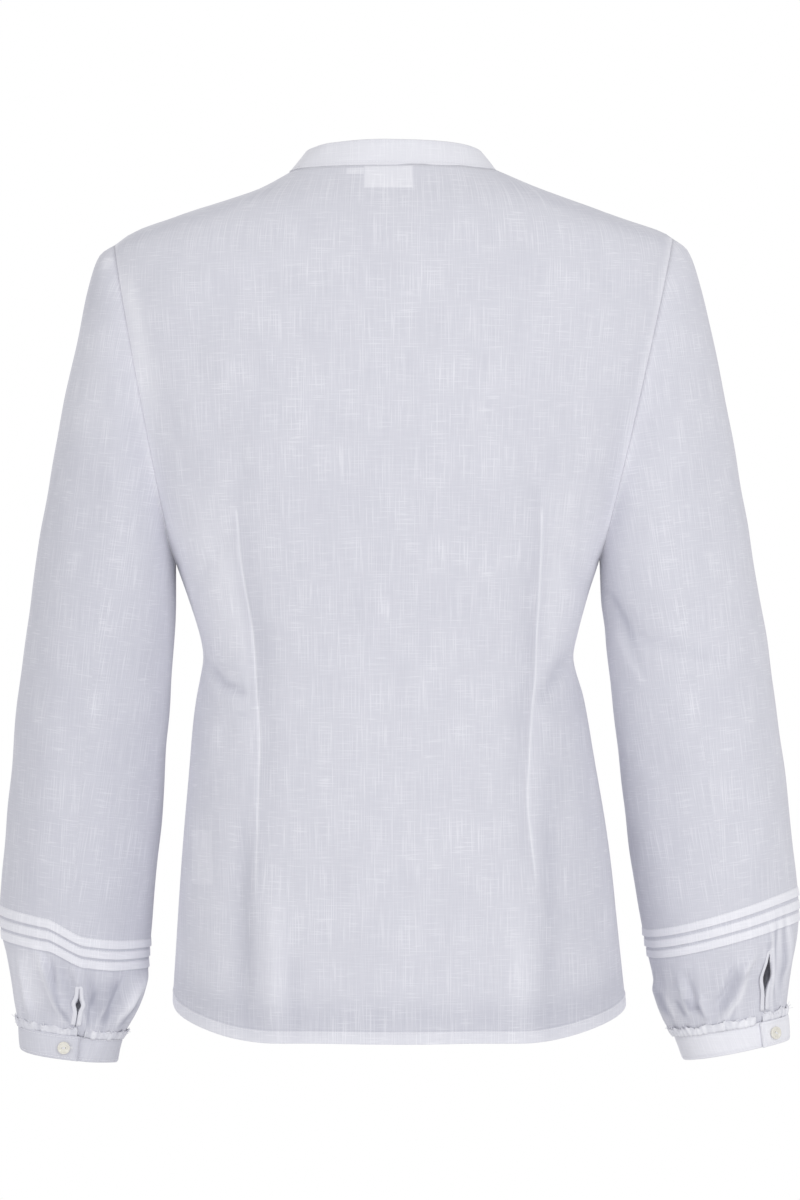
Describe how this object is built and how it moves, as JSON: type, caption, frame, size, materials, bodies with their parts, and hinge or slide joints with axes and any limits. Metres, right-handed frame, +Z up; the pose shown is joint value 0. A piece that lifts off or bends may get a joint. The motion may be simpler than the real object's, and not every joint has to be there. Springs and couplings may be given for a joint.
{
  "type": "band-collar blouse",
  "caption": "Band-collar blouse of thin slub cotton with long tucked sleeves and buttoned cuffs, standing hollow in its worn form.",
  "frame": {"origin": "middle of the neck opening, level with the two side neck points, where the wearer's neck and shoulders hold the blouse", "axes": "+Z up, -Y the wearer's front, +X the wearer's left"},
  "size_m": [0.6101, 0.2762, 0.697],
  "materials": {
    "slub_cotton": "matte slub weave",
    "folded_cotton": "matte, doubled and pressed",
    "shell_button": "pearly, polished",
    "label_tape": "smooth woven tape"
  },
  "bodies": {
    "root": {"back": "slub_cotton", "front_left": "slub_cotton", "front_right": "slub_cotton", "sleeve_left": "slub_cotton", "sleeve_right": "slub_cotton", "front_placket": "folded_cotton", "collar_band": "folded_cotton", "cuff_left": "folded_cotton", "cuff_right": "folded_cotton", "cuff_left_frill": "folded_cotton", "cuff_right_frill": "folded_cotton", "sleeve_left_binding": "folded_cotton", "sleeve_right_binding": "folded_cotton", "collar_button": "shell_button", "cuff_left_button": "shell_button", "cuff_right_button": "shell_button", "front_button_1": "shell_button", "front_button_2": "shell_button", "front_button_3": "shell_button", "front_button_4": "shell_button", "front_button_5": "shell_button", "front_button_6": "shell_button", "front_button_7": "shell_button", "neck_label": "label_tape", "size_tab": "label_tape", "care_label": "label_tape"}
  },
  "joints": []
}
